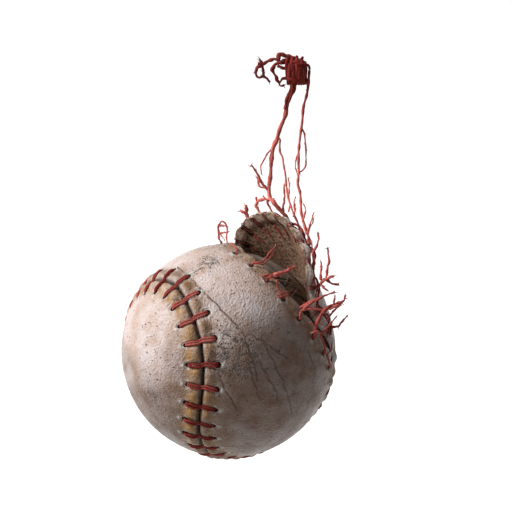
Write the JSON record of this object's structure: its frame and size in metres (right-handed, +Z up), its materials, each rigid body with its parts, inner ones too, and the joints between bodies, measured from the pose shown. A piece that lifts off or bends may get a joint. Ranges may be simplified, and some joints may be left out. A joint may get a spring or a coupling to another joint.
{
  "type": "baseball",
  "caption": "Worn leather baseball, torn open along its red stitched seam, hanging by loose lacing from a knot with one cover lobe peeled back.",
  "frame": {"origin": "The middle of the knot that the ball hangs from.", "axes": "+Z runs up from the middle of the ball through the knot; +Y points away from the side where the cover is torn open; +X points to the side where the peeled lobe is joined to the ball."},
  "size_m": [0.0755, 0.0748, 0.1415],
  "materials": {
    "leather": "worn pale leather, scuffed, with ochre stains along the seam",
    "leather_flesh": "brown suede flesh side",
    "red_thread": "waxed red thread, dull",
    "grey_wool": "grey brown wool yarn",
    "white_wool": "white wool yarn",
    "cork": "ground cork and rubber",
    "black_rubber": "black rubber",
    "red_rubber": "red rubber"
  },
  "bodies": {
    "knot": {"knot_bundle": "red_thread", "knot_neck": "red_thread", "tangle_upper": "red_thread", "tangle_middle": "red_thread", "strand_right_top": "red_thread"},
    "flap": {"cover_flap": "leather_flesh", "strand_left": "red_thread", "strand_inner": "red_thread", "strand_right": "red_thread", "tuft_top_left": "red_thread", "tuft_top_middle": "red_thread", "tuft_top_right": "red_thread", "tuft_side_upper": "red_thread", "tuft_side_middle": "red_thread", "tuft_side_lower": "red_thread", "tuft_root": "red_thread"},
    "ball": {"cover_panel_front": "leather", "cover_panel_rear": "leather", "lacing": "red_thread", "outer_yarn": "grey_wool", "winding_grey_last": "grey_wool", "cork_core": "cork", "rubber_inner_upper": "black_rubber", "rubber_inner_lower": "black_rubber", "rubber_gasket": "red_rubber", "rubber_outer_upper": "red_rubber", "rubber_outer_lower": "red_rubber", "winding_grey_first": "grey_wool", "winding_white": "white_wool", "thread_ladder": "red_thread", "thread_top_short": "red_thread", "thread_arc": "red_thread", "thread_cross_thick": "red_thread", "thread_cross_thin": "red_thread", "thread_long_upper": "red_thread", "thread_long_lower": "red_thread", "thread_low": "red_thread", "thread_zigzag": "red_thread"}
  },
  "joints": [
    {"name": "thread_swing", "type": "hinge", "parent": "knot", "child": "flap", "pos_m": [0, 0, -0.0115], "axis": [0, 1, 0], "range_deg": [-45, 45]},
    {"name": "flap_fold", "type": "hinge", "parent": "flap", "child": "ball", "pos_m": [0.02744, 0.01692, -0.08104], "axis": [0.5706, -0.8146, -0.104], "range_deg": [0, 60]}
  ]
}
